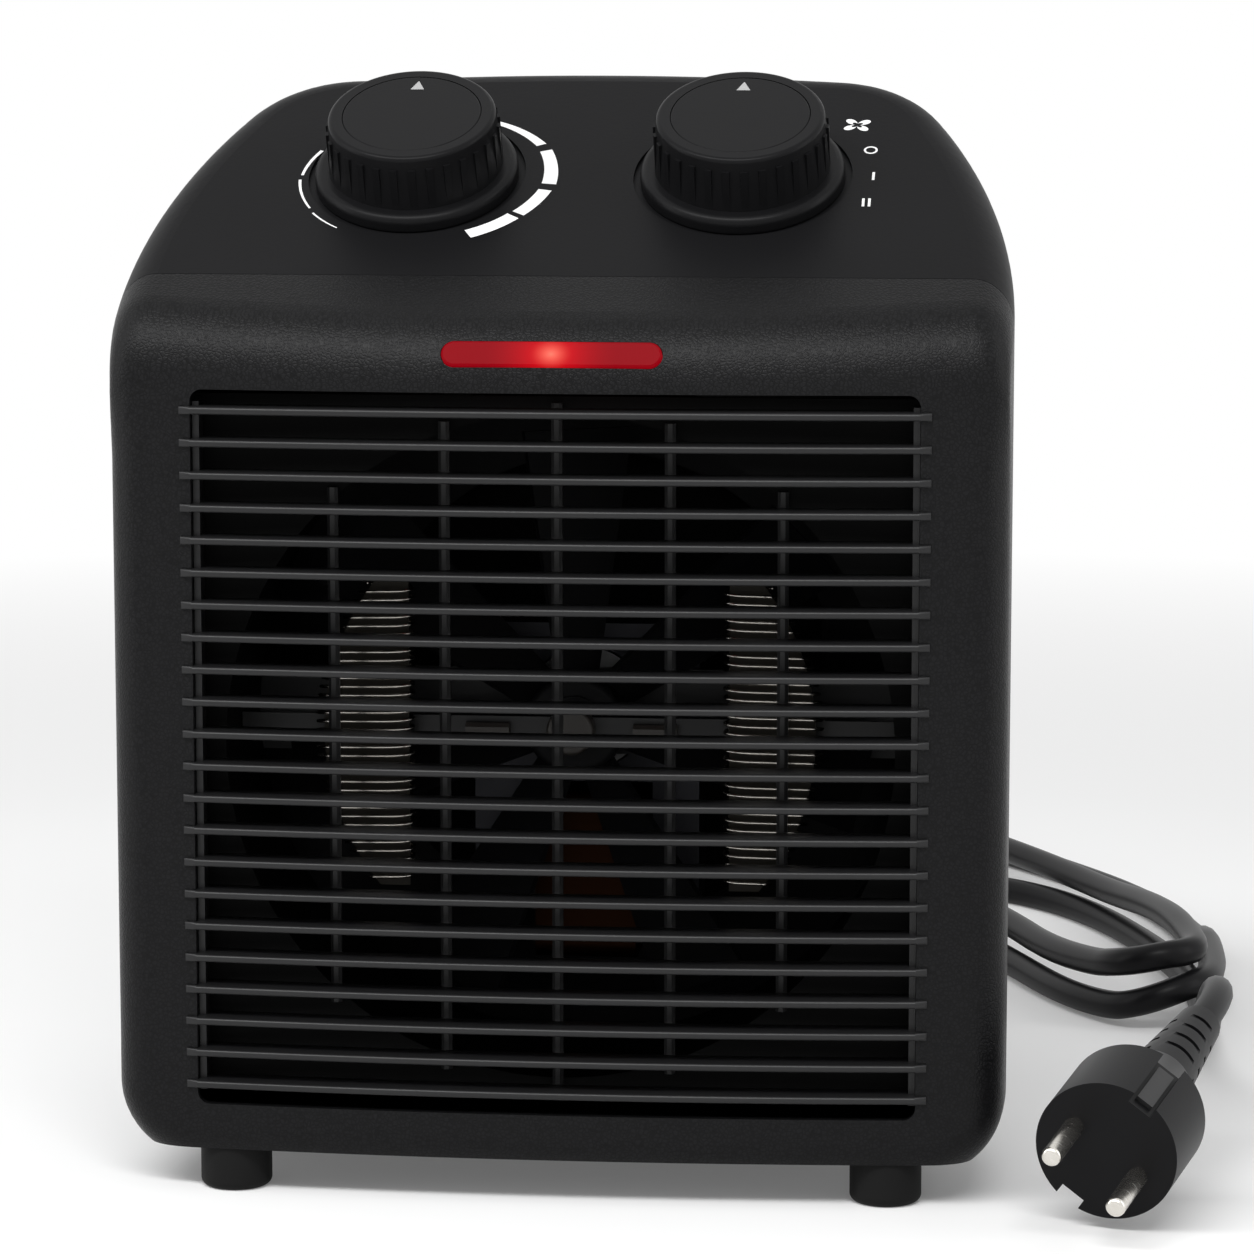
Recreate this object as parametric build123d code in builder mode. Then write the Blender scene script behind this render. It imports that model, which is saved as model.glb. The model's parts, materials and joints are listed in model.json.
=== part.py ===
from build123d import *
from math import asin, cos, degrees, pi, radians, sin, sqrt, tan
import os

# Upright fan heater, millimetres. X is the width, -Y is the front, Z is up.
# Depths are counted backwards from the middle of the bowed front face.

# Casing
body_width = 219.0
body_depth = 117.0
foot_height = 11.0
wall = 2.5
parting_depth = 24.0
front_corner_depth = 6.2
side_radius = 148.0
rear_sag = 4.5
rear_corner_radius = 33.0
panel_height = 225.0
panel_angle = 30.0
fold_radius = 22.0
band_width = 10.0
base_corner_radius = 20.0
hidden_base = 4.5
seam_gap = 0.2

# Air outlet
opening_size = 176.0
opening_height = 110.6
opening_corner = 3.0
louvre_count = 22
louvre_pitch = 7.9
louvre_thickness = 1.9
louvre_proud = 1.5
louvre_depth = 7.8
louvre_overlap = 2.6
rail_width = 1.5
grille_gap = 0.1

# Air path behind the louvres
baffle_depth = 15.0
baffle_thickness = 2.0
aperture_radius = 82.0
boss_radius = 3.6
boss_offset = 94.0
boss_spread = 80.0
rod_radius = 1.35
rod_offsets = (-54.8, -27.5, 0.0, 27.5, 54.8)
duct_radius = 84.0
duct_wall = 2.0
duct_rear = 74.0

# Heating element
element_depth = 38.0
element_radius = 60.0
winding_edge = 42.0
winding_turns = 12
winding_pitch = 6.0
wire_radius = 0.6
loop_radius = 3.2
card_thickness = 0.8
card_margin = 6.0
crossbar_depth = 45.0
crossbar_height = 3.0
crossbar_thickness = 1.2
cutout_radius = 6.0
cutout_length = 5.0
fuse_radius = 1.6
fuse_length = 11.0
fuse_offset = 21.0

# Fan and motor
hub_radius = 12.7
cap_radius = 7.6
hub_front = 50.0
hub_length = 16.0
fan_radius = 74.0
blade_count = 7
blade_thickness = 1.6
blade_pitch = 32.0
shaft_radius = 2.5
running_fit = 0.05
bracket_thickness = 2.0
bracket_height = 22.0
stator_depth = 79.0
stator_length = 18.0
stator_size = 58.0
stator_drop = 14.0
rotor_radius = 15.6
rotor_gap = 0.5
window_height = 16.0
leg_height = 12.0
coil_size = 26.0
coil_overhang = 4.0

# Controls
knob_offset = 40.9
knob_depth = 63.4
collar_radius = 25.5
collar_height = 4.0
skirt_radius = 22.0
skirt_top_radius = 20.9
knob_height = 17.8
knob_rim = 1.2
cap_disc_radius = 17.3
cap_recess = 1.4
cap_clearance = 0.1
rib_count = 30
rib_width = 1.7
rib_proud = 0.9
rib_top = 15.2
dish_radius = 27.3
dish_depth = 1.0
knob_lift = 0.4
spindle_radius = 3.0
spindle_reach = 11.0
bush_radius = 5.0
control_depth = 13.0
control_radius = 15.0
switch_size = 28.0

# Signal lamp
lens_width = 53.0
lens_height = 6.3
lens_level = 208.0
lens_depth = 1.9
lens_tilt = 24.0
lens_length = 4.0
lens_gap = 0.2
lamp_radius = 2.4
lamp_length = 12.0

# Feet and fasteners
foot_radius = 8.8
foot_offset = 80.5
front_foot_depth = 14.5
rear_foot_depth = 90.0
foot_round = 2.0
screw_radius = 1.6
screw_head_radius = 3.0
screw_head_height = 1.6
tab_width = 18.0
tab_reach = 12.0
tab_thickness = 2.4
tab_offset = 62.0
intake_radius = 60.0
slot_height = 4.4
slot_pitch = 8.0
middle_rib = 6.0

# Mains cord
cord_radius = 4.0
cord_sides = 10
gland_radius = 7.0
gland_offset = 45.0
gland_height = 32.0
gland_length = 9.0
floor_gap = 0.1

half_width = body_width / 2
front_y = (louvre_proud - body_depth) / 2
rear_y = front_y + body_depth
parting_y = front_y + parting_depth
form_base = foot_height - hidden_base
side_drop = side_radius - sqrt(side_radius**2 - (parting_depth - front_corner_depth) ** 2)
corner_x = half_width - side_drop
front_radius = (corner_x**2 + front_corner_depth**2) / (2 * front_corner_depth)
rear_corner_depth = body_depth - rear_sag
rear_x = half_width - side_radius + sqrt(side_radius**2 - (rear_corner_depth - parting_depth) ** 2)
rear_radius = (rear_x**2 + rear_sag**2) / (2 * rear_sag)
panel_plane = Plane(
    origin=(0, parting_y, panel_height),
    x_dir=(1, 0, 0),
    z_dir=(0, -sin(radians(panel_angle)), cos(radians(panel_angle))),
)
axis_z = opening_height


def upright(depth):
    """A vertical plane at a depth: sketch x is the width, sketch y the height, and it faces the front."""
    return Plane(origin=(0, front_y + depth, 0), x_dir=(1, 0, 0), z_dir=(0, -1, 0))


def bow_at(x):
    """How far the bowed front lies behind its middle at a distance from the centre."""
    return front_radius - sqrt(front_radius**2 - x**2)


def knob_plane(side):
    """The plane of a control on the sloping panel, facing outwards."""
    rise = (knob_depth - parting_depth) * tan(radians(panel_angle))
    origin = (side * knob_offset, front_y + knob_depth, panel_height + rise)
    return Plane(origin=origin, x_dir=(1, 0, 0), z_dir=panel_plane.z_dir)


def casing_form(inset):
    """The closed shape of the casing, drawn in by the wall for its hollow."""
    with BuildPart() as form:
        with BuildSketch(Plane.XY.offset(form_base + inset)) as plan:
            with Locations((0, front_y + front_radius)):
                Circle(front_radius - inset)
            with Locations((half_width - side_radius, parting_y)):
                Circle(side_radius - inset, mode=Mode.INTERSECT)
            with Locations((side_radius - half_width, parting_y)):
                Circle(side_radius - inset, mode=Mode.INTERSECT)
            with Locations((0, rear_y - rear_radius)):
                Circle(rear_radius - inset, mode=Mode.INTERSECT)
            fillet(plan.vertices().group_by(Axis.Y)[-1], rear_corner_radius - inset)
        extrude(amount=panel_height + body_depth)
        split(bisect_by=panel_plane.offset(-inset), keep=Keep.BOTTOM)
        base = form.faces().sort_by(Axis.Z)[0]
        fillet(base.edges().sort_by(Axis.Y)[1:], base_corner_radius - inset)
        panel = form.faces().filter_by(GeomType.PLANE).sort_by(Axis.Z)[-1]
        fillet(panel.edges().sort_by(Axis.Y)[0], fold_radius - inset)
        front = form.faces().sort_by(Axis.Y)[0]
        panel = form.faces().filter_by(GeomType.PLANE).sort_by(Axis.Z)[-1]
        shared = [front.edges().sort_by(Axis.Z)[-1], panel.edges().sort_by(Axis.Z)[0]]
        fold = [f for f in form.faces() if all(any(e.is_same(s) for e in f.edges()) for s in shared)][0]
        loop = [e for f in (front, fold, panel) for e in f.edges()]
        rim = [e for e in loop if not any(e.is_same(s) for s in shared)]
        fillet(rim, band_width - inset)
        split(bisect_by=Plane.XY.offset(foot_height + inset), keep=Keep.TOP)
    return form.part


def save(piece, label):
    """Name a finished piece and write it."""
    piece.part.label = label
    export_step(piece.part, f"parts/{label}.step")


os.makedirs("parts", exist_ok=True)
casing = casing_form(0)
hollow = casing_form(wall)
lens_plane = Plane(
    origin=(0, front_y + lens_depth, lens_level),
    x_dir=(1, 0, 0),
    z_dir=(0, -cos(radians(lens_tilt)), sin(radians(lens_tilt))),
)
boss_spots = [(x, axis_z + z) for x in (-boss_offset, boss_offset) for z in (-boss_spread, boss_spread)]

# Front cover: bowed face, fold under the panel, opening for the louvres, bosses for the baffle
with BuildPart() as front_cover:
    add(casing)
    add(hollow, mode=Mode.SUBTRACT)
    split(bisect_by=upright(parting_depth), keep=Keep.TOP)
    boss_root = bow_at(boss_offset) + wall / 2
    with BuildSketch(upright(baffle_depth)):
        with Locations(*boss_spots):
            Circle(boss_radius)
    extrude(amount=baffle_depth - boss_root)
    with BuildSketch(upright(parting_depth)):
        with Locations((0, opening_height)):
            RectangleRounded(opening_size, opening_size, opening_corner)
    extrude(amount=parting_depth + louvre_proud, mode=Mode.SUBTRACT)
    with BuildSketch(upright(baffle_depth)):
        with Locations(*boss_spots):
            Circle(screw_radius)
    extrude(amount=baffle_depth - boss_root - wall, mode=Mode.SUBTRACT)
    with BuildSketch(Plane.XY.offset(foot_height + wall)):
        with Locations((-tab_offset, parting_y), (tab_offset, parting_y)):
            Rectangle(tab_width, 2 * tab_reach)
    extrude(amount=tab_thickness)
    with BuildSketch(Plane.XY.offset(foot_height + wall)):
        with Locations((-tab_offset, parting_y + tab_reach / 2), (tab_offset, parting_y + tab_reach / 2)):
            Circle(screw_radius)
    extrude(amount=tab_thickness, mode=Mode.SUBTRACT)
    with BuildSketch(lens_plane):
        SlotOverall(lens_width + 2 * lens_gap, lens_height + 2 * lens_gap)
    extrude(amount=2 * wall, both=True, mode=Mode.SUBTRACT)
save(front_cover, "front_cover")

# Louvre grille: bowed slats that stand proud of the frame, tied by a rail at each side
bow_centre = (0, front_y + front_radius)
slat_reach = opening_size / 2 + louvre_overlap
inside_reach = opening_size / 2 - grille_gap
first_slat = opening_height - (louvre_count - 1) / 2 * louvre_pitch
with BuildSketch() as slat_inside:
    with Locations((0, front_y + front_corner_depth)):
        Rectangle(2 * inside_reach, 2 * (front_corner_depth + louvre_depth))
    with Locations(bow_centre):
        Circle(front_radius + louvre_proud, mode=Mode.INTERSECT)
    with Locations(bow_centre):
        Circle(front_radius - louvre_depth, mode=Mode.SUBTRACT)
with BuildSketch() as slat_plan:
    with BuildLine():
        end_front = front_y + bow_at(slat_reach) - louvre_proud / 3
        Polyline(
            (-slat_reach, front_y + front_corner_depth),
            (-slat_reach, end_front),
            (-slat_reach + louvre_overlap, front_y - louvre_proud),
            (slat_reach - louvre_overlap, front_y - louvre_proud),
            (slat_reach, end_front),
            (slat_reach, front_y + front_corner_depth),
            close=True,
        )
    make_face()
    with Locations(bow_centre):
        Circle(front_radius + louvre_proud, mode=Mode.INTERSECT)
    with Locations(bow_centre):
        Circle(front_radius + grille_gap, mode=Mode.SUBTRACT)
    add(slat_inside.sketch)
with BuildPart() as front_grille:
    for i in range(louvre_count):
        level = first_slat + i * louvre_pitch - louvre_thickness / 2
        with BuildSketch(Plane.XY.offset(level)):
            add(slat_plan.sketch)
        extrude(amount=louvre_thickness)
    rail_front = bow_at(inside_reach) + wall
    rail_back = bow_at(inside_reach) + louvre_depth
    with BuildSketch(Plane.XY.offset(opening_height - opening_size / 2 + opening_corner)):
        with Locations(*[(side * (inside_reach - rail_width / 2), front_y + (rail_front + rail_back) / 2) for side in (-1, 1)]):
            Rectangle(rail_width, rail_back - rail_front)
    extrude(amount=opening_size - 2 * opening_corner)
save(front_grille, "front_grille")

# Rear cover: sides, sloping control panel, rear wall with round intake, floor
gland_seat = rear_y - rear_sag
with BuildPart() as rear_cover:
    add(casing)
    add(hollow, mode=Mode.SUBTRACT)
    split(bisect_by=upright(parting_depth + seam_gap), keep=Keep.BOTTOM)
    with BuildSketch(upright(body_depth)):
        slot_count = int(2 * intake_radius / slot_pitch)
        with Locations((0, axis_z)):
            with GridLocations(0, slot_pitch, 1, slot_count):
                Rectangle(2 * intake_radius, slot_height)
            Circle(intake_radius, mode=Mode.INTERSECT)
            Rectangle(middle_rib, 2 * intake_radius, mode=Mode.SUBTRACT)
    extrude(amount=rear_sag + 2 * wall, mode=Mode.SUBTRACT)
    for side in (-1, 1):
        with BuildSketch(knob_plane(side).offset(-dish_depth)):
            Circle(dish_radius)
        extrude(amount=2 * dish_depth, mode=Mode.SUBTRACT)
        with BuildSketch(knob_plane(side).offset(-2 * wall)):
            Circle(bush_radius + running_fit)
        extrude(amount=3 * wall, mode=Mode.SUBTRACT)
    with BuildSketch(upright(body_depth)):
        with Locations((gland_offset, gland_height)):
            Circle(gland_radius - 2 + running_fit)
    extrude(amount=rear_sag + 2 * wall, mode=Mode.SUBTRACT)
    with BuildSketch(Plane.XY.offset(foot_height)):
        with Locations(*[(x, parting_y + tab_reach / 2) for x in (-tab_offset, tab_offset)]):
            Circle(screw_head_radius + running_fit)
    extrude(amount=screw_head_height, mode=Mode.SUBTRACT)
    with BuildSketch(Plane.XY.offset(foot_height)):
        with Locations(*[(x, parting_y + tab_reach / 2) for x in (-tab_offset, tab_offset)]):
            Circle(screw_radius + running_fit)
    extrude(amount=wall, mode=Mode.SUBTRACT)
save(rear_cover, "rear_cover")

# Air baffle: flat plate behind the louvres with a round aperture, screwed to the bosses
with BuildPart() as air_baffle:
    with BuildSketch(upright(baffle_depth + baffle_thickness)):
        with Locations((0, opening_height)):
            RectangleRounded(2 * (boss_offset + boss_radius), 2 * (boss_spread + boss_radius + wall), boss_radius)
            Circle(aperture_radius, mode=Mode.SUBTRACT)
        with Locations(*boss_spots):
            Circle(screw_radius + running_fit, mode=Mode.SUBTRACT)
    extrude(amount=baffle_thickness)
save(air_baffle, "air_baffle")

# Guard rods: five upright wires in front of the aperture, seated on the baffle
with BuildPart() as guard_rods:
    for x in rod_offsets:
        reach = sqrt(aperture_radius**2 - x**2) + 2 * rod_radius
        with BuildSketch(Plane.XY.offset(axis_z - reach)):
            with Locations((x, front_y + baffle_depth - rod_radius)):
                RegularPolygon(rod_radius, 8, rotation=22.5, major_radius=False)
        extrude(amount=2 * reach)
save(guard_rods, "guard_rods")

# Screws of the baffle, and countersunk screws that hold the two covers together
with BuildPart() as baffle_screws:
    with BuildSketch(upright(baffle_depth + baffle_thickness)):
        with Locations(*boss_spots):
            Circle(screw_radius)
    extrude(amount=baffle_depth + baffle_thickness - boss_root - wall - 1)
    with BuildSketch(upright(baffle_depth + baffle_thickness + screw_head_height)):
        with Locations(*boss_spots):
            Circle(screw_head_radius)
    extrude(amount=screw_head_height)
save(baffle_screws, "baffle_screws")

with BuildPart() as case_screws:
    with BuildSketch(Plane.XY.offset(foot_height)):
        with Locations(*[(x, parting_y + tab_reach / 2) for x in (-tab_offset, tab_offset)]):
            Circle(screw_head_radius)
    extrude(amount=screw_head_height)
    with BuildSketch(Plane.XY.offset(foot_height)):
        with Locations(*[(x, parting_y + tab_reach / 2) for x in (-tab_offset, tab_offset)]):
            Circle(screw_radius)
    extrude(amount=wall + tab_thickness)
save(case_screws, "case_screws")

# Air duct: round tunnel from the baffle to the motor bracket
with BuildPart() as air_duct:
    with BuildSketch(upright(duct_rear)):
        with Locations((0, axis_z)):
            Circle(duct_radius + duct_wall)
            Circle(duct_radius, mode=Mode.SUBTRACT)
    extrude(amount=duct_rear - baffle_depth - baffle_thickness)
save(air_duct, "air_duct")

# Heating element: a crossbar over the duct, and on each side a mica card with its winding
with BuildPart() as heater_crossbar:
    with BuildSketch(upright(crossbar_depth + crossbar_thickness)):
        with Locations((0, axis_z)):
            Rectangle(2 * duct_radius - 2 * running_fit - 1, 2 * crossbar_height)
            Circle(duct_radius - running_fit, mode=Mode.INTERSECT)
    extrude(amount=crossbar_thickness)
save(heater_crossbar, "heater_crossbar")


def winding_reach(height):
    """How far a turn of the winding reaches sideways at a height above the axis."""
    return sqrt(element_radius**2 - height**2)


def winding_path(side):
    """Front run, climbing half turn, back run, climbing half turn, over and over."""
    front = front_y + element_depth - loop_radius
    back = front_y + element_depth + loop_radius
    inner = side * winding_edge
    edges = []
    for turn in range(winding_turns):
        height = (turn - (winding_turns - 1) / 2) * winding_pitch - winding_pitch / 4
        outer = side * winding_reach(height + winding_pitch / 4)
        levels = [axis_z + height + k * winding_pitch / 4 for k in range(5)]
        edges.append(Line((inner, front, levels[0]), (outer, front, levels[0])))
        bulge = outer + side * sqrt(loop_radius**2 + (winding_pitch / 4) ** 2)
        edges.append(ThreePointArc((outer, front, levels[0]), (bulge, front + loop_radius, levels[1]), (outer, back, levels[2])))
        edges.append(Line((outer, back, levels[2]), (inner, back, levels[2])))
        if turn < winding_turns - 1:
            bulge = inner - side * sqrt(loop_radius**2 + (winding_pitch / 4) ** 2)
            edges.append(ThreePointArc((inner, back, levels[2]), (bulge, front + loop_radius, levels[3]), (inner, front, levels[4])))
    return edges


card_level = axis_z + winding_pitch / 4
for side, label in ((-1, "left"), (1, "right")):
    with BuildPart() as heating_coil:
        with BuildLine() as winding:
            add(winding_path(side))
        start = winding.line.edges()[0]
        with BuildSketch(Plane(origin=start @ 0, z_dir=start % 0)):
            Rectangle(2 * wire_radius, 2 * wire_radius)
        sweep(path=winding.line)
    save(heating_coil, f"heating_coil_{label}")
    card_inner = winding_edge - loop_radius + 2 * wire_radius
    card_top = winding_turns * winding_pitch / 2 + card_margin / 2
    with BuildPart() as mica_card:
        with BuildSketch(upright(element_depth + card_thickness / 2)):
            with Locations((0, axis_z)):
                Circle(element_radius + loop_radius - 3 * wire_radius)
                Rectangle(2 * element_radius + 4 * loop_radius, 2 * card_top, mode=Mode.INTERSECT)
                Rectangle(2 * card_inner, 2 * element_radius + 4 * loop_radius, mode=Mode.SUBTRACT)
            with Locations((-side * element_radius, axis_z)):
                Rectangle(2 * element_radius, 4 * element_radius, mode=Mode.SUBTRACT)
        extrude(amount=card_thickness)
        with BuildSketch(upright(crossbar_depth)):
            with Locations((side * (winding_edge + element_radius) / 2, card_level)):
                Rectangle(2 * crossbar_height, crossbar_height - 4 * running_fit)
        extrude(amount=crossbar_depth - element_depth)
    save(mica_card, f"mica_card_{label}")

# Protection: a thermal cut-out and two fuses on the front of the crossbar
with BuildPart() as thermal_cutout:
    with BuildSketch(upright(crossbar_depth)):
        with Locations((0, axis_z)):
            Circle(cutout_radius)
    extrude(amount=cutout_length)
    fillet(thermal_cutout.faces().sort_by(Axis.Y)[0].edges(), cutout_length / 5)
save(thermal_cutout, "thermal_cutout")

with BuildPart() as thermal_fuses:
    for side in (-1, 1):
        start = Plane(origin=(side * fuse_offset - fuse_length / 2, front_y + crossbar_depth - fuse_radius, axis_z), z_dir=(1, 0, 0))
        with BuildSketch(start):
            RegularPolygon(fuse_radius, 8, rotation=22.5, major_radius=False)
        extrude(amount=fuse_length)
save(thermal_fuses, "thermal_fuses")

# Fan: hub with twisted blades, carried on the motor shaft
blade_root = hub_radius - 1.5
with BuildPart() as blade:
    for reach, chord in ((blade_root, 12.0), (fan_radius, 30.0)):
        angle = blade_pitch * (1.35 if reach < fan_radius / 2 else 1.0)
        middle = Plane(origin=(0, front_y + hub_front + hub_length / 2, axis_z + reach), x_dir=(cos(radians(angle)), sin(radians(angle)), 0), z_dir=(0, 0, 1))
        with BuildSketch(middle):
            Rectangle(chord, blade_thickness)
    loft()
with BuildPart() as fan_impeller:
    with BuildSketch(upright(hub_front + hub_length)):
        with Locations((0, axis_z)):
            Circle(hub_radius)
    extrude(amount=hub_length)
    fillet(fan_impeller.faces().sort_by(Axis.Y)[0].edges(), 2.0)
    with BuildSketch(upright(hub_front)):
        with Locations((0, axis_z)):
            Circle(cap_radius)
    extrude(amount=1.2)
    fan_axis = Axis((0, 0, axis_z), (0, 1, 0))
    for i in range(blade_count):
        add(blade.part.rotate(fan_axis, 360 / blade_count * i))
    with BuildSketch(upright(hub_front + hub_length)):
        with Locations((0, axis_z)):
            Circle(shaft_radius + running_fit / 5)
    extrude(amount=hub_length - wall, mode=Mode.SUBTRACT)
save(fan_impeller, "fan_impeller")

shaft_end = stator_depth + stator_length + 2 * wall
with BuildPart() as motor_shaft:
    with BuildSketch(upright(shaft_end)):
        with Locations((0, axis_z)):
            Circle(shaft_radius)
    extrude(amount=shaft_end - hub_front - wall)
save(motor_shaft, "motor_shaft")

with BuildPart() as motor_rotor:
    with BuildSketch(upright(stator_depth + stator_length)):
        with Locations((0, axis_z)):
            Circle(rotor_radius)
            Circle(shaft_radius + running_fit / 5, mode=Mode.SUBTRACT)
    extrude(amount=stator_length)
save(motor_rotor, "motor_rotor")

# Motor: bracket over the duct, lamination stack with its winding on the lower leg, rear bearing
with BuildPart() as motor_bracket:
    with BuildSketch(upright(duct_rear + bracket_thickness)):
        with Locations((0, axis_z)):
            Rectangle(2 * duct_radius + duct_wall, bracket_height)
            Circle(shaft_radius + running_fit, mode=Mode.SUBTRACT)
    extrude(amount=bracket_thickness)
save(motor_bracket, "motor_bracket")

with BuildPart() as motor_stator:
    with BuildSketch(upright(stator_depth + stator_length)):
        with Locations((0, axis_z - stator_drop)):
            Rectangle(stator_size, stator_size + stator_drop)
        with Locations((0, axis_z)):
            Circle(rotor_radius + rotor_gap, mode=Mode.SUBTRACT)
        with Locations((0, axis_z - rotor_radius - rotor_gap - 3 - window_height / 2)):
            Rectangle(stator_size - 2 * leg_height, window_height, mode=Mode.SUBTRACT)
    extrude(amount=stator_length)
    with BuildSketch(upright(stator_depth)):
        with Locations((0, axis_z)):
            with GridLocations(stator_size - leg_height / 2, 0, 2, 1):
                Circle(screw_head_radius)
    extrude(amount=stator_depth - duct_rear - bracket_thickness)
save(motor_stator, "motor_stator")

window_top = axis_z - rotor_radius - rotor_gap - 3
leg_bottom = axis_z - stator_drop - (stator_size + stator_drop) / 2
window_bottom = window_top - window_height
with BuildPart() as motor_winding:
    coil_top = window_top - 1
    coil_bottom = leg_bottom - (coil_top - window_bottom)
    with BuildSketch(Plane.YZ.offset(-coil_size / 2)):
        with Locations((front_y + stator_depth + stator_length / 2, (coil_top + coil_bottom) / 2)):
            RectangleRounded(stator_length + 2 * coil_overhang, coil_top - coil_bottom, coil_overhang)
        with Locations((front_y + stator_depth + stator_length / 2, (window_bottom + leg_bottom) / 2)):
            Rectangle(stator_length + 4 * running_fit, window_bottom - leg_bottom + 4 * running_fit, mode=Mode.SUBTRACT)
    extrude(amount=coil_size)
save(motor_winding, "motor_winding")

with BuildPart() as rear_bearing:
    bearing_back = stator_depth + stator_length + 2 * bracket_thickness
    with BuildSketch(upright(bearing_back)):
        with Locations((0, axis_z)):
            Rectangle(stator_size, bracket_height / 2)
            Circle(shaft_radius + running_fit, mode=Mode.SUBTRACT)
    extrude(amount=bracket_thickness)
    with BuildSketch(upright(bearing_back - bracket_thickness)):
        with Locations((0, axis_z)):
            with GridLocations(stator_size - leg_height / 2, 0, 2, 1):
                Circle(screw_head_radius)
    extrude(amount=bracket_thickness)
save(rear_bearing, "rear_bearing")

# Controls: each knob turns on the panel, its cap and spindle with it, over a fixed control
for side, name in ((-1, "thermostat"), (1, "switch")):
    face = knob_plane(side)
    base = face.offset(knob_lift - dish_depth)
    with BuildPart() as knob:
        with BuildSketch(base):
            Circle(collar_radius)
        extrude(amount=collar_height)
        fillet(knob.edges().sort_by(face.z_dir and Axis(face.origin, face.z_dir))[-1], collar_height / 2)
        with BuildSketch(base.offset(collar_height / 2)):
            Circle(skirt_radius)
        with BuildSketch(face.offset(knob_height)):
            Circle(skirt_top_radius)
        loft()
        fillet(knob.edges().sort_by(Axis(face.origin, face.z_dir))[-1], knob_rim)
        for i in range(rib_count):
            turn = 360 / rib_count * i
            with BuildSketch(base.offset(collar_height / 2)):
                with PolarLocations(skirt_top_radius - rib_proud, 1, start_angle=turn):
                    Rectangle(4 * rib_proud, rib_width)
            extrude(amount=rib_top - collar_height / 2)
        with BuildSketch(face.offset(knob_height)):
            Circle(cap_disc_radius + cap_clearance)
        extrude(amount=-cap_recess, mode=Mode.SUBTRACT)
        with BuildSketch(base):
            Circle(spindle_radius + running_fit)
        extrude(amount=spindle_reach, mode=Mode.SUBTRACT)
    save(knob, f"{name}_knob")
    with BuildPart() as knob_cap:
        with BuildSketch(face.offset(knob_height - cap_recess)):
            Circle(cap_disc_radius)
        extrude(amount=cap_recess)
        fillet(knob_cap.edges().sort_by(Axis(face.origin, face.z_dir))[-1], cap_recess / 4)
    save(knob_cap, f"{name}_cap")
    with BuildPart() as spindle:
        with BuildSketch(face.offset(-wall - control_depth / 2)):
            Circle(spindle_radius)
        extrude(amount=wall + control_depth / 2 + spindle_reach + knob_lift - dish_depth)
    save(spindle, f"{name}_spindle")
    with BuildPart() as control:
        with BuildSketch(face.offset(-wall - control_depth)):
            if side < 0:
                Circle(control_radius)
            else:
                RectangleRounded(switch_size, switch_size, wall)
        extrude(amount=control_depth)
        with BuildSketch(face.offset(-wall)):
            Circle(bush_radius)
        extrude(amount=wall - dish_depth)
        with BuildSketch(face.offset(-dish_depth)):
            Circle(spindle_radius + running_fit)
        extrude(amount=dish_depth - wall - control_depth / 2 - running_fit, mode=Mode.SUBTRACT)
    save(control, f"{name}_body")

# Signal lamp: pill lens in the fold, neon lamp behind it
with BuildPart() as indicator_lens:
    with BuildSketch(lens_plane.offset(-lens_length)):
        SlotOverall(lens_width, lens_height)
    extrude(amount=lens_length + lens_gap)
    chamfer(indicator_lens.faces().sort_by(Axis.Y)[0].edges(), 0.5)
save(indicator_lens, "indicator_lens")

with BuildPart() as neon_lamp:
    lamp_start = lens_plane.offset(-lens_length - lamp_radius)
    with BuildSketch(Plane(origin=lamp_start.origin - Vector(lamp_length / 2, 0, 0), z_dir=(1, 0, 0))):
        Circle(lamp_radius)
    extrude(amount=lamp_length)
save(neon_lamp, "neon_lamp")

# Feet
for label, depth in (("front", front_foot_depth), ("rear", rear_foot_depth)):
    for side, hand in ((-1, "left"), (1, "right")):
        with BuildPart() as foot:
            with BuildSketch():
                with Locations((side * (foot_offset if label == "front" else foot_offset - 12), front_y + depth)):
                    Circle(foot_radius)
            extrude(amount=foot_height)
            fillet(foot.edges().sort_by(Axis.Z)[0], foot_round)
        save(foot, f"foot_{label}_{hand}")

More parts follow.
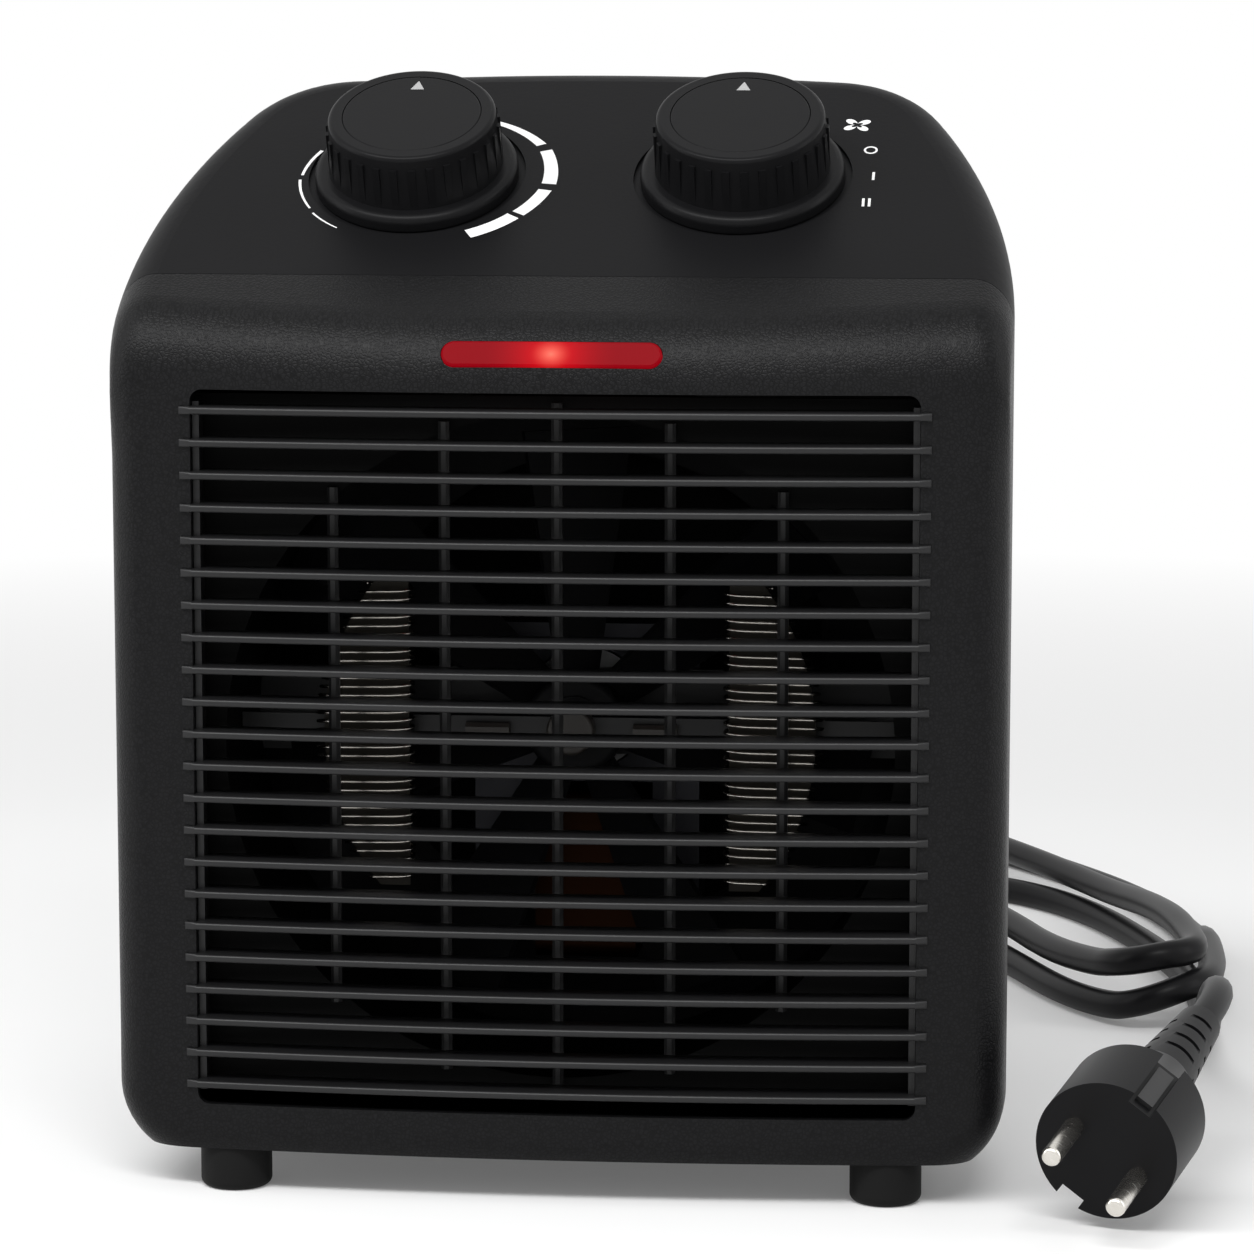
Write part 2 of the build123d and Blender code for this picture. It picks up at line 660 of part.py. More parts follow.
# Mains cord: out of the gland, over the floor behind the casing, two loops and a tail to the plug
plug_face = (134.1, -12.0, 20.3)
boot_end = (157.0, 62.0, 34.5)
boot_stub = 0.22
boot_exit = tuple(b + boot_stub * (b - a) for a, b in zip(plug_face, boot_end))
lead_points = [
    (gland_offset, body_depth + gland_length, gland_height),
    (45.0, 142.0, gland_height),
    (45.0, 163.0, 24.0),
    (44.0, 188.0, 10.5),
    (42.0, 216.0, 4.1),
    (39.0, 248.0, 4.1),
    (39.0, 282.0, 4.1),
    (49.0, 312.0, 4.1),
]
loop_points = [
    (70.0, 326.0, 4.1),
    (91.0, 314.0, 4.1),
    (104.9, 280.5, 4.1),
    (121.0, 239.0, 4.1),
    (135.0, 216.0, 5.0),
    (142.0, 208.5, 7.5),
    (150.0, 206.5, 10.5),
    (157.5, 210.0, 13.0),
    (162.5, 218.0, 13.0),
    (164.5, 235.0, 12.8),
    (164.5, 256.0, 12.8),
    (163.0, 278.0, 12.8),
    (161.5, 316.0, 4.1),
    (155.0, 348.0, 4.1),
    (143.0, 382.0, 4.1),
    (124.0, 417.0, 4.1),
    (103.0, 450.0, 4.1),
    (82.0, 479.0, 4.1),
    (50.0, 494.0, 4.1),
    (18.0, 486.0, 4.1),
    (0.0, 458.0, 4.1),
    (3.0, 424.0, 6.0),
    (24.0, 394.0, 9.5),
    (50.0, 369.0, 12.8),
    (75.0, 346.0, 12.8),
    (93.0, 321.0, 12.8),
    (105.0, 294.0, 12.8),
    (117.5, 257.0, 12.8),
    (131.0, 226.0, 15.5),
    (137.0, 213.0, 18.5),
    (142.7, 208.9, 20.0),
    (149.7, 208.4, 21.6),
    (155.9, 211.7, 22.0),
    (159.2, 218.0, 22.0),
    (158.0, 236.0, 21.6),
    (154.0, 263.0, 21.4),
    (147.0, 298.0, 18.5),
    (136.0, 337.0, 14.0),
    (120.0, 378.0, 12.8),
    (102.2, 412.0, 12.8),
    (86.0, 440.0, 12.8),
    (61.0, 457.0, 10.5),
    (36.0, 449.0, 6.5),
    (27.0, 426.0, 4.1),
    (41.0, 406.0, 4.1),
    (66.0, 402.0, 4.1),
]
tail_points = [
    (86.0, 399.0, 4.1),
    (103.5, 389.0, 4.1),
    (119.5, 371.0, 4.1),
    (133.5, 345.0, 4.1),
    (145.0, 313.0, 4.1),
    (154.5, 280.0, 4.1),
    (160.0, 248.0, 4.1),
    (161.8, 222.0, 4.1),
    (161.8, 200.0, 4.3),
    (161.5, 176.0, 8.0),
    (161.0, 150.0, 16.5),
    (161.5, 123.0, 28.0),
    (162.6, 99.0, 36.5),
    boot_exit,
    boot_end,
]


def placed(point):
    """A point given by width, depth and height, in the part's own frame."""
    return Vector(point[0], front_y + point[1], point[2])


def between(first, second):
    """The middle of a run, where one stretch of cord ends and the next begins."""
    return tuple((a + b) / 2 for a, b in zip(first, second))


def corner_radii(points):
    """The largest arc that the two runs at each corner leave room for."""
    radii = []
    for before, corner, after in zip(points, points[1:], points[2:]):
        run_in = corner - before
        run_out = after - corner
        half_turn = radians(run_in.get_angle(run_out)) / 2
        radii.append(0.45 * min(run_in.length, run_out.length) / tan(half_turn))
    return radii


first_joint = between(lead_points[-1], loop_points[0])
last_joint = between(loop_points[-1], tail_points[0])
stretches = {
    "cord_lead": lead_points + [first_joint],
    "cord_loops": [first_joint] + loop_points + [last_joint],
    "cord_tail": [last_joint] + tail_points,
}
cord_length = 0
for label, points in stretches.items():
    route = [placed(point) for point in points]
    radii = corner_radii(route)
    with BuildPart() as cord:
        with BuildLine() as centre:
            FilletPolyline(*route, radius=radii)
        path = centre.wires()[0]
        with BuildSketch(Plane(origin=path @ 0, z_dir=path % 0)):
            RegularPolygon(cord_radius, cord_sides)
        sweep(path=path)
    save(cord, label)
    section = cord_sides / 2 * cord_radius**2 * sin(2 * pi / cord_sides)
    cord_length += path.length
    print(label, "length", round(path.length, 1), "smallest radius", round(min(radii), 1))
    print(label, "volume", round(cord.part.volume), "section times length", round(section * path.length))
print("cord length", round(cord_length, 1))

# Gland: flanged sleeve through the rear wall, tapering to the cord
wall_at_gland = body_depth - rear_radius + sqrt(rear_radius**2 - (gland_offset - gland_radius) ** 2)
with BuildPart() as cord_gland:
    with BuildSketch(upright(wall_at_gland + lens_gap)):
        with Locations((gland_offset, gland_height)):
            Circle(gland_radius - 2)
    extrude(amount=3 * wall)
    with BuildSketch(upright(wall_at_gland + wall)):
        with Locations((gland_offset, gland_height)):
            Circle(gland_radius)
    extrude(amount=wall - lens_gap)
    with BuildSketch(upright(wall_at_gland + wall)):
        with Locations((gland_offset, gland_height)):
            Circle(gland_radius - 1)
    with BuildSketch(upright(body_depth + gland_length)):
        with Locations((gland_offset, gland_height)):
            Circle(cord_radius + 1)
    loft()
save(cord_gland, "cord_gland")

# Mains plug: two round pins, round body with a guide notch at each side, slotted boot
plug_radius = 17.5
plug_body_length = 24.0
shoulder_length = 16.0
shoulder_radius = 9.5
boot_tip_radius = 5.6
pin_radius = 2.4
pin_spacing = 19.0
pin_length = 19.0
notch_width = 6.4
notch_depth = 3.0
clip_thickness = 1.0
slot_width = 1.8
face_centre = placed(plug_face)
plug_line = placed(boot_end) - face_centre
plug_plane = Plane(origin=face_centre, x_dir=(0.76, -0.235, -0.60), z_dir=plug_line)
shoulder_end = plug_body_length + shoulder_length
with BuildPart() as plug_body:
    with BuildSketch(plug_plane):
        Circle(plug_radius)
        with GridLocations(0, 2 * plug_radius, 1, 2):
            Rectangle(notch_width, 2 * notch_depth, mode=Mode.SUBTRACT)
    extrude(amount=plug_body_length)
    with BuildSketch(plug_plane.offset(plug_body_length)):
        Circle(plug_radius - notch_depth)
    with BuildSketch(plug_plane.offset(shoulder_end)):
        Circle(shoulder_radius)
    loft()
save(plug_body, "plug_body")

with BuildPart() as plug_boot:
    with BuildSketch(plug_plane.offset(shoulder_end)):
        Circle(shoulder_radius - 1)
    with BuildSketch(plug_plane.offset(plug_line.length)):
        Circle(boot_tip_radius)
    loft()
    for turn in (0, 90, 180, 270):
        for i in range(4):
            level = shoulder_end + 5 + i * 4 * slot_width + (slot_width * 2 if turn % 180 else 0)
            with BuildSketch(plug_plane.offset(level)):
                with PolarLocations(shoulder_radius, 1, start_angle=turn):
                    Rectangle(2 * notch_depth + i * 0.8, 2 * shoulder_radius * 0.62)
            extrude(amount=slot_width, mode=Mode.SUBTRACT)
save(plug_boot, "plug_boot")

with BuildPart() as plug_pins:
    with BuildSketch(plug_plane):
        with GridLocations(pin_spacing, 0, 2, 1):
            Circle(pin_radius)
    extrude(amount=-pin_length)
    for end in plug_pins.solids():
        fillet(end.faces().filter_by(GeomType.PLANE).sort_by(Axis(face_centre, plug_line))[0].edges(), pin_radius / 2)
save(plug_pins, "plug_pins")

with BuildPart() as plug_earth_clips:
    with BuildSketch(plug_plane.offset(notch_depth)):
        with GridLocations(0, 2 * (plug_radius - notch_depth) + clip_thickness, 1, 2):
            Rectangle(notch_width - 2, clip_thickness)
    extrude(amount=plug_body_length - 2 * notch_depth)
save(plug_earth_clips, "plug_earth_clips")
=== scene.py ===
import bpy
import bmesh
import json
import numpy as np
from math import cos, pi, radians, sin
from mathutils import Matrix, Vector


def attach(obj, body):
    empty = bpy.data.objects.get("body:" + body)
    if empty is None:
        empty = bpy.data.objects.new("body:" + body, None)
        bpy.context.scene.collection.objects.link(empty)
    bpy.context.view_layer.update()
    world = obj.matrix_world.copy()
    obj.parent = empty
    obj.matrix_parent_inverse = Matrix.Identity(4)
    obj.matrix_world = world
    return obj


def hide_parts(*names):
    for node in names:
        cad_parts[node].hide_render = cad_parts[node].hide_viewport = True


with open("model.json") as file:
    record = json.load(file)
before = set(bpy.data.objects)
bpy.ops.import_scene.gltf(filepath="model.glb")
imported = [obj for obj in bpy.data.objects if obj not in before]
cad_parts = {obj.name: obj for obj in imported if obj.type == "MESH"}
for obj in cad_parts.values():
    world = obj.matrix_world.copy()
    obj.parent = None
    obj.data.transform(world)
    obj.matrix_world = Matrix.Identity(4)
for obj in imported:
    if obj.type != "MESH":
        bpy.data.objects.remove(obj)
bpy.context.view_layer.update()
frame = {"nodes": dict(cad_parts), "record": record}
nodes = frame["nodes"]
mm = 0.001

# The frame's own measures (metres, degrees): front apex, bow of the front, vent, panel's front edge, knobs
casing = {
    "frontY": -0.05775,
    "frontRadius": 0.951,
    "ventHeight": 0.1106,
    "panelStart": Vector((0, -0.03375, 0.225)),
    "panelDepth": 0.024,
    "panelAngle": 30,
    "knobOffset": 0.0409,
    "knobDepth": 0.0634,
    "knobHeight": 0.0178,
}
slope = radians(casing["panelAngle"])
panelNormal = Vector((0, -sin(slope), cos(slope)))
panelUp = Vector((0, cos(slope), sin(slope)))
rightAxis, upAxis, outAxis = np.array([1.0, 0, 0]), np.array(panelUp), np.array(panelNormal)


# A shader value: + - * and maths() add the nodes
class Wire:
    def __init__(self, tree, socket):
        self.tree = tree
        self.socket = socket

    def maths(self, operation, *others):
        node = self.tree.nodes.new("ShaderNodeMath")
        node.operation = operation
        for place, value in enumerate((self,) + others):
            if isinstance(value, Wire):
                self.tree.links.new(value.socket, node.inputs[place])
            else:
                node.inputs[place].default_value = value
        return Wire(self.tree, node.outputs[0])

    def __add__(self, other):
        return self.maths("ADD", other)

    def __sub__(self, other):
        return self.maths("SUBTRACT", other)

    def __mul__(self, other):
        return self.maths("MULTIPLY", other)

    def __rsub__(self, other):
        return (self * -1).maths("ADD", other)

    # 0 below the edge, 1 above it, over a soft width
    def above(self, edge, width):
        return ((self - edge) * (1 / width) + 0.5).maths("MINIMUM", 1).maths("MAXIMUM", 0)


# A material with one shader, and the calls that feed it
class Finish:
    def __init__(self, name, color, roughness, metallic=0.0, **fixed):
        self.material = bpy.data.materials.new(name)
        self.material.use_nodes = True
        self.tree = self.material.node_tree
        self.shader = self.tree.nodes["Principled BSDF"]
        self.shader.inputs["Base Color"].default_value = (*color, 1)
        self.shader.inputs["Roughness"].default_value = roughness
        self.shader.inputs["Metallic"].default_value = metallic
        for socket, value in fixed.items():
            self.shader.inputs[socket.replace("_", " ")].default_value = value
        coord = self.tree.nodes.new("ShaderNodeTexCoord")
        self.place = Wire(self.tree, coord.outputs["Object"])

    def node(self, kind, settings=None, output=0, **inputs):
        made = self.tree.nodes.new(kind)
        for key, value in (settings or {}).items():
            setattr(made, key, value)
        for key, value in inputs.items():
            socket = made.inputs[key.replace("_", " ")]
            if isinstance(value, Wire):
                self.tree.links.new(value.socket, socket)
            else:
                socket.default_value = value
        return Wire(self.tree, made.outputs[output])

    def noise(self, scale, detail=3.0, stretch=(1, 1, 1)):
        spot = self.node("ShaderNodeVectorMath", {"operation": "MULTIPLY"}, Vector=self.place)
        spot.socket.node.inputs[1].default_value = stretch
        return self.node("ShaderNodeTexNoise", None, "Fac", Vector=spot, Scale=scale, Detail=detail)

    # One color where the mask is 0, the other where it is 1; the first may be another mix
    def mix(self, mask, color, other):
        mixed = self.tree.nodes.new("ShaderNodeMix")
        mixed.data_type = "RGBA"
        self.tree.links.new(mask.socket, mixed.inputs["Factor"])
        if isinstance(color, Wire):
            self.tree.links.new(color.socket, mixed.inputs["A"])
        else:
            mixed.inputs["A"].default_value = (*color, 1)
        mixed.inputs["B"].default_value = (*other, 1)
        return Wire(self.tree, mixed.outputs["Result"])

    def tint(self, mask, color, other):
        self.feed("Base Color", self.mix(mask, color, other))

    def feed(self, socket, value):
        self.tree.links.new(value.socket, self.shader.inputs[socket])

    def bump(self, height, strength, distance):
        made = self.node("ShaderNodeBump", None, "Normal", Height=height, Strength=strength, Distance=distance)
        self.feed("Normal", made)


# Moulded plastic: fine spark-eroded grain, a slow change of gloss and of tone
moulded = {"glossScale": 9, "glossSwing": 0.12, "toneScale": 25, "toneLift": 1.25, "grainDepth": 0.0002}


def plastic(name, color, roughness, grain=900, strength=0.12, shine=0.08):
    made = Finish(name, color, roughness, Specular_IOR_Level=shine)
    cloud = made.noise(moulded["glossScale"], 2)
    made.feed("Roughness", cloud * moulded["glossSwing"] + (roughness - moulded["glossSwing"] / 2))
    made.tint(made.noise(moulded["toneScale"], 3), color, [c * moulded["toneLift"] for c in color])
    made.bump(made.noise(grain, 2), strength, moulded["grainDepth"])
    return made.material


# Front cover: worm-like leather grain, warped cells about a millimetre across with soft grooves between; the
# grooves carry painted shade and the cell tops painted light
leather = {"warpScale": 700.0, "warpReach": 0.0007, "cellScale": 1000.0, "groove": 0.13, "soft": 0.2, "dark": 0.55,
           "light": 1.2, "glossSwing": 0.08, "glossDrop": 0.05, "strength": 0.35, "depth": 0.00012, "shine": 0.12}


def leatherGrain(name, color, roughness):
    made = Finish(name, color, roughness, Specular_IOR_Level=leather["shine"])
    warp = made.node("ShaderNodeTexNoise", None, "Color", Vector=made.place, Scale=leather["warpScale"],
                     Detail=2.0)
    shifted = made.node("ShaderNodeVectorMath", {"operation": "MULTIPLY_ADD"}, Vector=warp)
    shifted.socket.node.inputs[1].default_value = [leather["warpReach"]] * 3
    made.tree.links.new(made.place.socket, shifted.socket.node.inputs[2])
    cells = made.node("ShaderNodeTexVoronoi", {"feature": "DISTANCE_TO_EDGE"}, "Distance", Vector=shifted,
                      Scale=leather["cellScale"])
    cellsOverShadedGrooves = cells.above(leather["groove"], leather["soft"])
    # Painted shade and painted light: the colour is darker in the grooves and lighter on the cell tops
    made.tint(cellsOverShadedGrooves, [c * leather["dark"] for c in color], [c * leather["light"] for c in color])
    made.feed("Roughness", cellsOverShadedGrooves * leather["glossSwing"] + (roughness - leather["glossDrop"]))
    made.bump(cellsOverShadedGrooves, leather["strength"], leather["depth"])
    return made.material


# Drawn or rolled metal: long fine streaks
streak = {"scale": 160, "glossSwing": 0.2, "glossDrop": 0.08, "dark": 0.75, "strength": 0.08, "depth": 0.0001}


def metal(name, color, roughness, stretch=(1, 1, 30)):
    made = Finish(name, color, roughness, 1.0)
    streaks = made.noise(streak["scale"], 4, stretch)
    made.feed("Roughness", streaks * streak["glossSwing"] + (roughness - streak["glossDrop"]))
    made.tint(streaks, [c * streak["dark"] for c in color], color)
    made.bump(streaks, streak["strength"], streak["depth"])
    return made.material


# Red lens: deep red, brighter towards the lamp in its middle, with a small hot spot.
# Each glow is (1 - distance / reach) squared; upright distances count for more, so the glow is an oval.
lens = {"height": 0.208, "flatten": 2, "deep": (0.24, 0.0, 0.004), "glossScale": 60, "glossSwing": 0.1,
        "glossLow": 0.25, "shine": 0.03, "glows": ((0.017, (0.85, 0.004, 0.010)), (0.0055, (1.0, 0.22, 0.15)))}


def lensGlow(name):
    made = Finish(name, (0.05, 0.0, 0.001), 0.3, Specular_IOR_Level=lens["shine"])
    parts = made.node("ShaderNodeSeparateXYZ", Vector=made.place).socket.node
    along, rise = Wire(made.tree, parts.outputs[0]), Wire(made.tree, parts.outputs[2]) - lens["height"]
    away = (along * along + rise * rise * lens["flatten"]).maths("SQRT")
    glowing = lens["deep"]
    for reach, color in lens["glows"]:
        near = 1 - (away * (1 / reach)).maths("MINIMUM", 1)
        glowing = made.mix(near * near, glowing, color)
    made.feed("Emission Color", glowing)
    made.shader.inputs["Emission Strength"].default_value = 1.0
    made.feed("Roughness", made.noise(lens["glossScale"], 2) * lens["glossSwing"] + lens["glossLow"])
    return made.material


# Plug pins: nickelled brass, faintly brushed round
brushed = {"scale": 240, "stretch": (1, 6, 1), "dark": (0.62, 0.59, 0.53), "light": (0.76, 0.74, 0.70),
           "glossSwing": 0.14, "glossLow": 0.18}


def pinMetal(name):
    made = Finish(name, (0.70, 0.68, 0.63), 0.22, 1.0)
    wear = made.noise(brushed["scale"], 3, brushed["stretch"])
    made.tint(wear, brushed["dark"], brushed["light"])
    made.feed("Roughness", wear * brushed["glossSwing"] + brushed["glossLow"])
    return made.material


finishes = {
    "front_shell": leatherGrain("blackLeatherGrain", (0.006, 0.006, 0.0065), 0.40),
    "rear_shell": plastic("blackSatinShell", (0.006, 0.006, 0.0065), 0.42, shine=0.06),
    "grille": plastic("blackLouvre", (0.009, 0.009, 0.0095), 0.36, 1200, 0.06, 0.3),
    "inner_plastic": plastic("innerDarkPlastic", (0.004, 0.004, 0.004), 0.6),
    "knob": plastic("knobBlack", (0.006, 0.006, 0.0065), 0.34, 1400, 0.05),
    "lens": lensGlow("redLens"),
    "lamp": plastic("neonGlass", (0.7, 0.25, 0.08), 0.2, shine=0.5),
    "steel": metal("zincSteel", (0.42, 0.42, 0.43), 0.34),
    "laminations": metal("varnishedStack", (0.05, 0.05, 0.055), 0.5, (1, 60, 1)),
    "rotor": metal("castRotor", (0.3, 0.3, 0.3), 0.45),
    # The motor's copper winding is coloured near-black: painted shade of the dark inside, not the copper's own
    # colour
    "copper": metal("copperPaintedShade", (0.02, 0.008, 0.004), 0.5, (60, 1, 1)),
    "heating_wire": metal("heatingWire", (0.80, 0.76, 0.70), 0.18, (1, 1, 1)),
    # The mica cards are coloured near-black: painted shade of the dark duct round them
    "mica": plastic("micaPaintedShade", (0.03, 0.027, 0.022), 0.4, 300, 0.2),
    "protection": plastic("protectionMoulding", (0.05, 0.045, 0.04), 0.4, shine=0.4),
    "fan": plastic("fanPlastic", (0.006, 0.006, 0.0065), 0.45),
    "control": plastic("controlMoulding", (0.15, 0.13, 0.10), 0.5),
    "foot": plastic("footRubber", (0.008, 0.008, 0.008), 0.6, 600, 0.2),
    "cord": plastic("cordSheath", (0.006, 0.006, 0.0065), 0.38, 1500, 0.04, 0.1),
    "plug": plastic("plugMoulding", (0.005, 0.005, 0.0055), 0.36, 1300, 0.05, 0.1),
    "pins": pinMetal("pinNickel"),
}
# Near-black steel for the guard rods, the motor bracket, the heater crossbar and the rear bearing; on the plug's
# earth clips the near-black is painted shade of their dark slots
blackSteelAndShade = plastic("blackSteelAndPaintedShade", (0.012, 0.012, 0.0125), 0.4, 500, 0.08, 0.35)
blackSteelAndShadeNodes = ("guard_rods", "motor_bracket", "heater_crossbar", "rear_bearing", "plug_earth_clips")
slots = {s["node"]: s["material_slot"] for s in frame["record"]["subparts"]}
for name, piece in nodes.items():
    piece.data.materials.clear()
    piece.data.materials.append(blackSteelAndShade if name in blackSteelAndShadeNodes else finishes[slots[name]])
markInk = plastic("markWhite", (0.78, 0.78, 0.78), 0.5)
pointerInk = plastic("pointerGrey", (0.36, 0.36, 0.36), 0.5)
# Near-black sheet for the disc behind the intake: painted shade
shadeSheet = plastic("paintedShadeSheet", (0.004, 0.004, 0.004), 0.8, 1600, 0.5)
print("finishes done")


sharpFrom = radians(40)


# A mesh from a grid of points, rows by columns: closeV joins its last column to its first,
# and caps close its first and last rows
def gridMesh(name, points, closeV=False, slot="grille", body="case", caps=False):
    rows, columns = points.shape[:2]
    index = np.arange(rows * columns).reshape(rows, columns)
    if closeV:
        index = np.hstack([index, index[:, :1]])
    quads = np.stack([index[:-1, :-1], index[:-1, 1:], index[1:, 1:], index[1:, :-1]], -1).reshape(-1, 4)
    faces = quads.tolist()
    if caps:
        faces += [index[0, :columns].tolist(), index[-1, :columns][::-1].tolist()]
    mesh = bpy.data.meshes.new(name)
    mesh.from_pydata(points.reshape(-1, 3).tolist(), [], faces)
    if caps:
        shell = bmesh.new()
        shell.from_mesh(mesh)
        bmesh.ops.recalc_face_normals(shell, faces=shell.faces)
        shell.to_mesh(mesh)
        shell.free()
    mesh.shade_smooth()
    if slot == "grille":
        mesh.set_sharp_from_angle(angle=sharpFrom)
    piece = bpy.data.objects.new(name, mesh)
    bpy.context.scene.collection.objects.link(piece)
    mesh.materials.append(finishes[slot])
    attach(piece, body)
    return piece


def recolored(piece, material):
    piece.data.materials.clear()
    piece.data.materials.append(material)
    return piece


# Several pieces of one kind made one object
def joined(name, pieces):
    with bpy.context.temp_override(active_object=pieces[0], selected_editable_objects=pieces):
        bpy.ops.object.join()
    pieces[0].name = name
    return pieces[0]


# Louvres: a rounded section carried along the bow of the front, standing proud of the frame, its ends
# thinned to tips that lap onto the frame
louvre = {"count": 22, "pitch": 0.0079, "thickness": 0.0019, "proud": 0.0015, "depth": 0.0078, "round": 0.0008,
          "noseSteps": 7, "reach": 0.0879, "overlap": 0.0027, "stations": 41, "step": 1e-5, "tipBack": -0.0001,
          "tipFront": -0.0006}
rail = {"inset": 0.0009, "half": 0.0008, "behind": 0.0025, "depth": 0.005, "halfHeight": 0.0849}


# Depth of the bowed front behind its middle: the sag of a circle
def bowAt(x):
    return casing["frontRadius"] - np.sqrt(casing["frontRadius"] ** 2 - x**2)


# Closed outline (depth, height): a nose rounded above and below, and a flat back
def louvreSection(back):
    half, r = louvre["thickness"] / 2, louvre["round"]
    turn = np.linspace(0, pi / 2, louvre["noseSteps"])
    top = np.stack([-louvre["proud"] + r - r * np.cos(turn), half - r + r * np.sin(turn)], -1)
    low = np.stack([-louvre["proud"] + r - r * np.cos(turn[::-1]), -half + r - r * np.sin(turn[::-1])], -1)
    rear = np.array([[back, half], [back, -half]])
    return np.vstack([top, rear, low])


def louvreBars():
    tip = louvre["reach"] + louvre["overlap"]
    shoulder = louvre["reach"] + louvre["step"]
    x = np.linspace(-louvre["reach"], louvre["reach"], louvre["stations"])
    x = np.concatenate([[-tip, -shoulder], x, [shoulder, tip]])
    last = len(x) - 1
    section, thin = louvreSection(louvre["depth"]), louvreSection(louvre["tipBack"])
    bars = []
    for i in range(louvre["count"]):
        level = casing["ventHeight"] + (i - (louvre["count"] - 1) / 2) * louvre["pitch"]
        rows = []
        for k, station in enumerate(x):
            shape = (thin if k in (0, 1, last - 1, last) else section).copy()
            if k in (0, last):
                shape[:, 0] = np.maximum(shape[:, 0], louvre["tipFront"])
            depth = casing["frontY"] + bowAt(station) + shape[:, 0]
            rows.append(np.stack([np.full(len(shape), station), depth, level + shape[:, 1]], -1))
        bars.append(gridMesh(f"louvre{i}", np.array(rows), closeV=True, caps=True))
    offset = louvre["reach"] - rail["inset"]
    front = casing["frontY"] + bowAt(offset) + rail["behind"]
    half, back = rail["half"], rail["depth"]
    outline = [(-half, 0), (half, 0), (half, back), (-half, back)]
    for side in (-1, 1):
        ends = [casing["ventHeight"] + k * rail["halfHeight"] for k in (-1, 1)]
        box = np.array([[[side * offset + dx, front + dy, z] for dx, dy in outline] for z in ends])
        bars.append(gridMesh(f"rail{side}", box, closeV=True, caps=True))
    return bars


grille = joined("louvreGrille", louvreBars())
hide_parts("front_grille")
print("louvres done")

# Heater windings: fine wire wound on each mica card, front run, half turn, back run, half turn
winding = {"turns": 34, "height": 0.074, "edge": 0.042, "reach": 0.060, "bend": 0.0032, "wire": 0.00042,
           "depth": 0.038, "samples": 40, "sides": 8, "square": 0.45}


# One lap a turn, climbing evenly: x goes as |cos|^square, which makes long straight runs and short bends,
# and the outer end of each lap lies on the circle of the element
def windingPath(side):
    count = winding["turns"] * winding["samples"]
    lap = np.arange(count) / winding["samples"]
    height = (lap / winding["turns"] - 0.5) * winding["height"]
    outer = np.sqrt(winding["reach"] ** 2 - height**2)
    phase = (lap % 1) * 2 * pi
    squash = np.sign(np.cos(phase)) * np.abs(np.cos(phase)) ** winding["square"]
    middle = (winding["edge"] + outer) / 2
    half = (outer - winding["edge"]) / 2 + winding["bend"]
    x = side * (middle + half * squash)
    y = casing["frontY"] + winding["depth"] - winding["bend"] * np.sin(phase)
    return np.stack([x, y, casing["ventHeight"] + height], -1)


# A round section carried along a path, square to it
def tubeGrid(path, radius, sides):
    along = np.gradient(path, axis=0)
    along /= np.linalg.norm(along, axis=1, keepdims=True)
    first = np.cross(along, (0, 0, 1.0))
    first /= np.linalg.norm(first, axis=1, keepdims=True) + 1e-12
    second = np.cross(along, first)
    turn = (np.arange(sides) * 2 * pi / sides)[None, :, None]
    return path[:, None] + radius * (first[:, None] * np.cos(turn) + second[:, None] * np.sin(turn))


for side, label in ((-1, "left"), (1, "right")):
    tube = tubeGrid(windingPath(side), winding["wire"], winding["sides"])
    coil = gridMesh(f"windingWire_{label}", tube, closeV=True, slot="heating_wire", caps=True)
    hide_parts(f"heating_coil_{label}")
print("windings done")

# Painted shade: a thin near-black disc behind the round intake, laid against the bowed inside of the rear wall,
# that closes the inside from view so it shows dark
screen = {"radius": 0.0625, "middle": 0.001, "depth": 0.1139, "rearRadius": 1.227, "thick": 0.0004, "rings": 12,
          "sectors": 96}


def screenSide(lift):
    reach = np.linspace(screen["middle"], screen["radius"], screen["rings"])
    turn = np.arange(screen["sectors"]) * 2 * pi / screen["sectors"]
    x, z = reach[:, None] * np.cos(turn), reach[:, None] * np.sin(turn)
    y = casing["frontY"] + screen["depth"] - x**2 / (2 * screen["rearRadius"]) - lift
    return np.stack([x, y, casing["ventHeight"] + z], -1)


bothSides = np.vstack([screenSide(screen["thick"]), screenSide(0)[::-1]])
recolored(gridMesh("shadeDisc", bothSides, closeV=True, slot="inner_plastic", caps=True), shadeSheet)
print("screen done")

# Printed marks: a pointer on each knob, the scale round the left one, the signs round the right one
mark = {"lift": 0.00006, "samples": 24}
pointer = {"tip": 0.0151, "base": 0.0114, "spread": 8.7, "point": 0.3}


# Points round a knob's centre: clock in degrees clockwise from the top, lift above the panel
def onKnob(side, radius, clock, lift=mark["lift"]):
    centre = casing["panelStart"] + panelUp * ((casing["knobDepth"] - casing["panelDepth"]) / cos(slope))
    centre = np.array(centre + Vector((side * casing["knobOffset"], 0, 0)))
    clock, radius = np.radians(np.asarray(clock, float)), np.asarray(radius, float)
    across = (radius * np.sin(clock))[..., None] * rightAxis
    rise = (radius * np.cos(clock))[..., None] * upAxis
    return centre + across + rise + lift * outAxis


# Print is a flat sheet, turned to face outwards
def inked(name, points, ink=markInk, body="case"):
    piece = gridMesh(name, points, slot="knob", body=body)
    if piece.data.polygons[0].normal.dot(panelNormal) < 0:
        piece.data.flip_normals()
    return recolored(piece, ink)


for side, body, name in ((-1, "thermostat_dial", "pointerLeft"), (1, "switch_dial", "pointerRight")):
    radii = [pointer["base"], pointer["base"], pointer["tip"], pointer["tip"]]
    clocks = [-pointer["spread"], pointer["spread"], -pointer["point"], pointer["point"]]
    corners = onKnob(side, radii, clocks, casing["knobHeight"] + mark["lift"])
    inked(name, corners.reshape(2, 2, 3), pointerInk, body)

